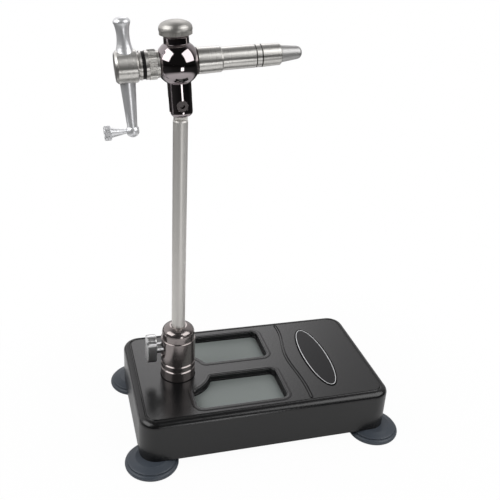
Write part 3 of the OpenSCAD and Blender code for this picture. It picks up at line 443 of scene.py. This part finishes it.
def ring_sections(centre, axis, start, corners, sides):
    """Sections of a ring round an axis, whose corners have a radius and a place along the axis"""
    across = axis.cross(start)
    sections = []
    for a in turns(sides):
        way = start * math.cos(a) + across * math.sin(a)
        sections.append([centre + way * radius + axis * along for radius, along in corners])
    return sections


# the clamp's foot and the ring of painted shade, dark where shadow falls in its corner with the base
FOOT_RING_SUNK, FOOT_RING_W, FOOT_RING_H = 0.05, 0.45, 0.35


def clamp_foot():
    """Middle of the clamp's foot on the base, and its radius"""
    low, high = box_mm("column_clamp")
    return Vector(((low.x + high.x) / 2, 0, box_mm("base_shell")[1].z)), (high.x - low.x) / 2


def clamp_shade_ring(mat):
    """Painted shade: thin dark ring in the corner between the clamp and the base, where shadow falls"""
    foot, foot_r = clamp_foot()
    inner = foot_r - FOOT_RING_SUNK
    outer = inner + FOOT_RING_W
    corners = ((inner, 0), (outer, 0), (outer, FOOT_RING_H), (inner, FOOT_RING_H))
    band("clamp_shade_ring", ring_sections(foot, UP, RIGHT, corners, RING_SIDES), mat, "base")


# grooves of the sleeve, as distances of their edges back from the nose cap, and the dark line of painted
# shade at their bottom
GROOVES = ((4.5, 3.9), (0.7, 0.1))
GROOVE_DEPTH, GROOVE_LINE, GROOVE_SIDES = 0.5, 0.12, 64


def node_span(name, way):
    """Least and greatest distance of a node's points along a direction"""
    places = [(nodes[name].matrix_world @ v.co).dot(way) / MM for v in nodes[name].data.vertices]
    return min(places), max(places)


def groove_shade_lines(mat):
    """Painted shade: dark line at the bottom of each groove of the sleeve"""
    axis, rise = Vector(HEAD_X[1]), Vector(HEAD_Z[1])
    cap_start = node_span("nose_cap", axis)[0]
    low, high = node_span("nose_sleeve", rise)
    centre = rise * (low + high) / 2 + axis * cap_start
    bottom = (high - low) / 2 - GROOVE_DEPTH
    inner, outer = bottom - GROOVE_LINE, bottom + GROOVE_LINE
    for number, (back, front) in enumerate(GROOVES, 1):
        corners = ((inner, -back), (outer, -back), (outer, -front), (inner, -front))
        sections = ring_sections(centre, axis, rise.cross(axis), corners, GROOVE_SIDES)
        band("groove_line_%d" % number, sections, mat, "rotor")


# trays: distance of their edge from the liner, and radii of their corners, their hollow and its blended ends
LEDGE_W, TRAY_CORNER_R, HOLLOW_R, BLEND_R = 1.0, 5.0, 25.0, 2.4
ARC_STEPS, HOLLOW_STEPS = 10, 16
# section of the lip, outward from the tray's edge and up from the base's top: a slope that comes down to the
# top, a round edge at the tray, whose arc is in degrees from its crown, and a foot inside the base
LIP_SLOPE = ((4.0, -0.1), (3.6, 0.02), (2.6, 0.14))
LIP_OUT, LIP_R, LIP_RISE, LIP_STEPS, LIP_ARC = 1.5, 1.9, 0.2, 12, 105
LIP_FOOT = ((1.2, -3.0), (4.2, -3.0))


def arc(centre, radius, start, end, out=1, steps=ARC_STEPS):
    """Points of an arc with the way out of the tray at each; out is -1 where its centre lies outside"""
    points = []
    for i in range(steps + 1):
        a = start + (end - start) * i / steps
        way = Vector((math.cos(a), math.sin(a)))
        points.append((Vector(centre) + way * radius, way * out))
    return points


def tray_outline():
    """Outline of the rear tray, with its hollow round the clamp"""
    liner = [v.co / MM for v in nodes["tray_liners"].data.vertices if v.co.y > 0]
    x0, x1 = min(p.x for p in liner) - LEDGE_W, max(p.x for p in liner) + LEDGE_W
    y0, y1 = min(p.y for p in liner) - LEDGE_W, max(p.y for p in liner) + LEDGE_W
    hollow = clamp_foot()[0].xy
    away = HOLLOW_R + BLEND_R
    by_rib = Vector((hollow.x + math.sqrt(away ** 2 - (y0 + BLEND_R) ** 2), y0 + BLEND_R))
    by_end = Vector((x0 + BLEND_R, math.sqrt(away ** 2 - (x0 + BLEND_R - hollow.x) ** 2)))
    rib_angle = math.atan2(*(by_rib - hollow).yx)
    end_angle = math.atan2(*(by_end - hollow).yx)
    quarter, half = math.pi / 2, math.pi
    r = TRAY_CORNER_R
    return (arc((x1 - r, y0 + r), r, -quarter, 0)
            + arc((x1 - r, y1 - r), r, 0, quarter)
            + arc((x0 + r, y1 - r), r, quarter, half)
            + arc(by_end, BLEND_R, half, half + end_angle)
            + arc(hollow, HOLLOW_R, end_angle, rib_angle, -1, HOLLOW_STEPS)
            + arc(by_rib, BLEND_R, half + rib_angle, half + quarter))


def lip_section():
    """Points of the lip's section"""
    section = list(LIP_SLOPE)
    for k in range(LIP_STEPS + 1):
        a = math.pi / 2 + math.radians(LIP_ARC * k / LIP_STEPS)
        section.append((LIP_OUT + LIP_R * math.cos(a), LIP_RISE - LIP_R + LIP_R * math.sin(a)))
    return section + list(LIP_FOOT)


def tray_lips(mat):
    """Lip with a rounded edge along the rim of each tray"""
    top = box_mm("base_shell")[1].z
    for side, name in ((1, "rear_tray_lip"), (-1, "front_tray_lip")):
        sections = []
        for point, out in tray_outline():
            places = [(point + out * outward, rise) for outward, rise in lip_section()]
            sections.append([Vector((at.x, side * at.y, top + rise)) for at, rise in places])
        band(name, sections, mat, "base", smooth=True)


# the wavy groove's own curve: distance from the base's right side, and of its ends from the front and back,
# swing and number of waves, and as shares its lead and how much it fades towards the front
WAVE_INSET, WAVE_MARGIN, WAVE_SWING, WAVE_TURNS = 64.7, 7.9, 3.5, 1.2
WAVE_LEAD_SHARE, WAVE_FADE_SHARE, WAVE_STEPS, WAVE_NUDGE_SHARE = 0.083, 0.8, 48, 0.001
# section of the bead in the groove: half its width, and heights from the base's top
BEAD_HALF, BEAD_FOOT, BEAD_SIDE, BEAD_CROWN, BEAD_STEPS = 0.7, -0.9, -0.15, 0.2, 6


def wave_at(corner, t):
    """Place on the wavy line at the share t of its way to the front, from the base's rear right corner"""
    wave = math.cos(2 * math.pi * WAVE_TURNS * (t - WAVE_LEAD_SHARE)) * (1 - WAVE_FADE_SHARE * t)
    return Vector((corner.x - WAVE_INSET + WAVE_SWING * wave, (1 - 2 * t) * (corner.y - WAVE_MARGIN)))


def wave_bead(mat):
    """Low bead with a rounded crown along the middle of the wavy groove"""
    corner = box_mm("base_shell")[1]
    outline = [(-BEAD_HALF, BEAD_FOOT)]
    for k in range(BEAD_STEPS + 1):
        a = math.pi * (1 - k / BEAD_STEPS)
        outline.append((BEAD_HALF * math.cos(a), BEAD_SIDE + BEAD_CROWN * math.sin(a)))
    outline.append((BEAD_HALF, BEAD_FOOT))
    sections = []
    for i in range(WAVE_STEPS + 1):
        t = i / WAVE_STEPS
        middle = wave_at(corner, t)
        along = (wave_at(corner, t + WAVE_NUDGE_SHARE) - wave_at(corner, t - WAVE_NUDGE_SHARE)).normalized()
        across = Vector((-along.y, along.x))
        places = [(middle + across * side, rise) for side, rise in outline]
        sections.append([Vector((at.x, at.y, corner.z + rise)) for at, rise in places])
    band("wave_bead", sections, mat, "base", closed=False)


# studio: the lamps stand round the ball of the head
FOCUS = Vector((-62, 0, 282)) * MM


def area_light(name, direction, distance, width, height, power):
    """Rectangular lamp at a distance from the focus, facing it"""
    light = bpy.data.lights.new(name, "AREA")
    light.shape = "RECTANGLE"
    light.size = width
    light.size_y = height
    light.energy = power
    lamp = bpy.data.objects.new(name, light)
    bpy.context.scene.collection.objects.link(lamp)
    way = Vector(direction).normalized()
    lamp.location = FOCUS + way * distance
    lamp.rotation_mode = "QUATERNION"
    lamp.rotation_quaternion = way.to_track_quat("Z", "Y")
    lamp.visible_camera = False


def make_lamps():
    """Two softboxes above, and a small strip low in front"""
    area_light("softbox_left", (-0.816, -0.147, 0.547), distance=1.1, width=1.05, height=0.95, power=10)
    area_light("softbox_right", (0.70, -0.455, 0.568), distance=1.1, width=1.05, height=1.0, power=9.5)
    area_light("front_strip", (0.24, -0.97, -0.40), distance=0.5, width=0.12, height=0.15, power=0.22)


# the room: the wall's limits by a direction's y, z and x, each with the shares of its glow at those limits
ROOM_TINT, ROOM_DARK, ROOM_BACK = (1.0, 0.99, 1.0, 1), 0.014, 0.9
WALL_BY_Y = (-0.1, 0.5, 0, 1)
WALL_BY_Z = (0.66, 0.97, 1, 0.1)
WALL_BY_X = (0.15, 0.65, 1, 0.6)
# the lit patch: its direction, how far from it the patch ends and begins to fade, in degrees, and its glow
PATCH_WAY, PATCH_END, PATCH_FULL, PATCH_GLOW = (0.16, 0.823, 0.545), 13, 4, 1.65


def make_world():
    """White to the camera; to all other rays a dark room with a pale wall and a lit patch behind the table"""
    world = bpy.data.worlds.new("studio")
    bpy.context.scene.world = world
    world.use_nodes = True
    tree = world.node_tree
    tree.nodes.clear()
    way = add(tree, "ShaderNodeTexCoord").outputs["Generated"]
    split = add(tree, "ShaderNodeSeparateXYZ")
    tree.links.new(way, split.inputs["Vector"])
    by_y = ranged(tree, split.outputs["Y"], *WALL_BY_Y)
    by_z = ranged(tree, split.outputs["Z"], *WALL_BY_Z)
    by_x = ranged(tree, split.outputs["X"], *WALL_BY_X)
    glow = combined(tree, "MULTIPLY", combined(tree, "MULTIPLY", by_y, by_z), by_x)
    wall = ranged(tree, glow, 0, 1, ROOM_DARK, ROOM_BACK, "LINEAR")
    patch_end, patch_full = math.cos(math.radians(PATCH_END)), math.cos(math.radians(PATCH_FULL))
    patch = ranged(tree, reach(tree, way, PATCH_WAY), patch_end, patch_full, 0, PATCH_GLOW)
    room = add(tree, "ShaderNodeBackground", Color=ROOM_TINT)
    tree.links.new(combined(tree, "ADD", wall, patch), room.inputs["Strength"])
    seen = add(tree, "ShaderNodeBackground", Color=WHITE)
    rays = add(tree, "ShaderNodeLightPath")
    look = mixed(tree, rays.outputs["Is Camera Ray"], room.outputs["Background"], seen.outputs["Background"])
    tree.links.new(look, add(tree, "ShaderNodeOutputWorld").inputs["Surface"])


# the table, in metres: half its size, its depth under the feet, how far it is white and from where it is dark
FLOOR_SIZE, FLOOR_SUNK, TABLE_NEAR, TABLE_FAR = 6.0, 0.0002, 0.26, 0.42
TABLE_WHITE, TABLE_DARK = 0.85, 0.02
FLOOR_GLOW, GLOW_START_SHARE = 0.97, 0.6


def table_white():
    """White near the object and dark far off, which only reflections see; the camera sees a white glow"""
    mat = new_material("floor_white", (TABLE_WHITE,) * 3, roughness=0.6, specular=0.1)
    # only the camera sees the glow, so it isn't sampled as a lamp
    mat.cycles.emission_sampling = "NONE"
    tree = mat.node_tree
    shader = shader_of(mat)
    distance = add(tree, "ShaderNodeVectorMath", operation="LENGTH")
    tree.links.new(add(tree, "ShaderNodeTexCoord").outputs["Object"], distance.inputs[0])
    distance = distance.outputs["Value"]
    white = ranged(tree, distance, TABLE_NEAR, TABLE_FAR, TABLE_WHITE, TABLE_DARK)
    tree.links.new(white, shader.inputs["Base Color"])
    glow = add(tree, "ShaderNodeEmission", Color=WHITE)
    glowing = ranged(tree, distance, TABLE_NEAR * GLOW_START_SHARE, TABLE_NEAR, FLOOR_GLOW, 1)
    rays = add(tree, "ShaderNodeLightPath")
    share = combined(tree, "MULTIPLY", rays.outputs["Is Camera Ray"], glowing)
    look = mixed(tree, share, shader.outputs["BSDF"], glow.outputs["Emission"])
    tree.links.new(look, tree.nodes["Material Output"].inputs["Surface"])
    return mat


def make_floor():
    """Table top, a little under the feet"""
    corners = [(x * FLOOR_SIZE, y * FLOOR_SIZE, 0) for x, y in ((-1, -1), (1, -1), (1, 1), (-1, 1))]
    mesh = bpy.data.meshes.new("floor")
    mesh.from_pydata(corners, [], [(0, 1, 2, 3)])
    mesh.materials.append(table_white())
    floor = bpy.data.objects.new("floor", mesh)
    floor.location.z = -FLOOR_SUNK
    bpy.context.scene.collection.objects.link(floor)


make_camera()
mats = make_materials()
dress(mats)
# painted shade: dark ring round the oval plate's edge
oval_ring("oval_shade_ring", mats["painted_shade_black"], SHADE_RING)
oval_ring("oval_border", mats["oval_border"], BORDER_RING)
# painted shade: dark ring in the corner at the clamp's foot
clamp_shade_ring(mats["painted_shade_black"])
# painted shade: dark lines in the sleeve's grooves
groove_shade_lines(mats["groove_painted_shade"])
tray_lips(mats["base_black"])
wave_bead(mats["base_black"])
make_world()
make_floor()
make_lamps()

bpy.context.scene.view_settings.view_transform = "Standard"
